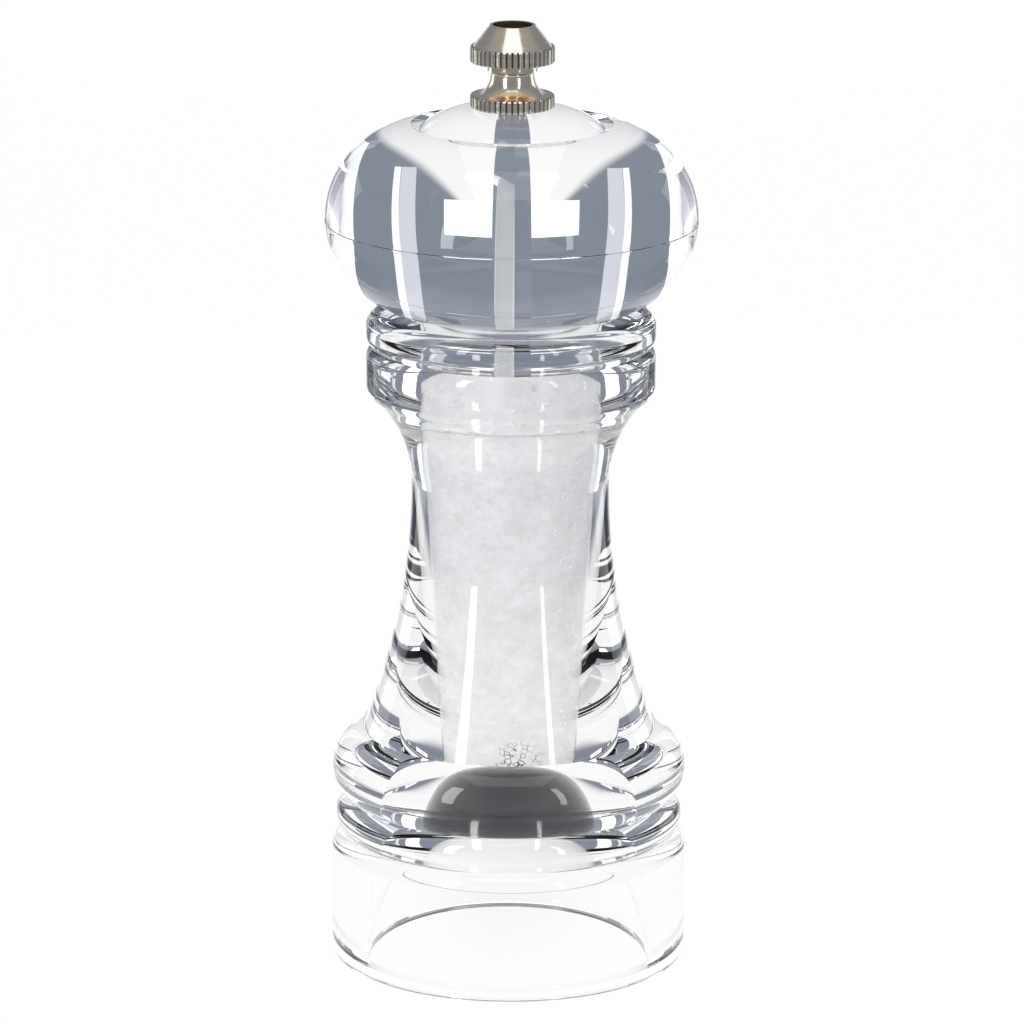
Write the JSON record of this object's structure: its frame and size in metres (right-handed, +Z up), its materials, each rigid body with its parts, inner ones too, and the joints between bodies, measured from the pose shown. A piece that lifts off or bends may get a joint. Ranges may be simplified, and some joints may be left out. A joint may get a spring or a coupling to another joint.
{
  "type": "salt mill",
  "caption": "Clear turned hand mill with a bulb head, knurled nut, square shaft, salt-filled hopper and conical burrs; turning the head grinds.",
  "frame": {"origin": "centre of the base on the table", "axes": "+Z up along the mill's axis; the picture looks along +Y with +X to the right"},
  "size_m": [0.0622, 0.0622, 0.1603],
  "materials": {
    "clear_acrylic": "clear, polished",
    "nickel": "nickel-plated, bright",
    "shaft_metal": "drawn",
    "salt": "loose coarse crystals",
    "dark_plastic": "moulded",
    "pale_plastic": "moulded",
    "burr_ceramic": "fired, matte",
    "stainless": "plain"
  },
  "bodies": {
    "mill_body": {"body": "clear_acrylic", "salt_fill": "salt", "burr_housing": "dark_plastic", "outer_burr": "burr_ceramic", "shaft_bush": "pale_plastic", "bottom_bridge": "stainless", "bridge_screws": "stainless"},
    "turning_set": {"spring_washer": "stainless", "burr_spring": "stainless"},
    "spindle": {"drive_shaft": "shaft_metal", "inner_burr": "burr_ceramic", "burr_washer": "stainless", "shaft_clip": "stainless"},
    "head": {"head": "clear_acrylic"},
    "finial": {"finial": "nickel"}
  },
  "joints": [
    {"name": "mill_turn", "type": "hinge", "parent": "mill_body", "child": "turning_set", "pos_m": [0, 0, 0.03], "axis": [0, 0, 1], "continuous": true},
    {"name": "grind_adjust", "type": "slide", "parent": "turning_set", "child": "spindle", "axis": [0, 0, 1], "range_m": [0, 0.001], "deforming": ["burr_spring"]},
    {"name": "head_lift", "type": "slide", "parent": "turning_set", "child": "head", "axis": [0, 0, 1], "range_m": [0, 0.07]},
    {"name": "finial_turn", "type": "hinge", "parent": "head", "child": "finial", "pos_m": [0, 0, 0.15], "axis": [0, 0, 1], "range_deg": [-720, 0]}
  ],
  "couplings": [
    {"joint": "finial_turn", "follows": "grind_adjust", "rad_per_m": -12566}
  ]
}
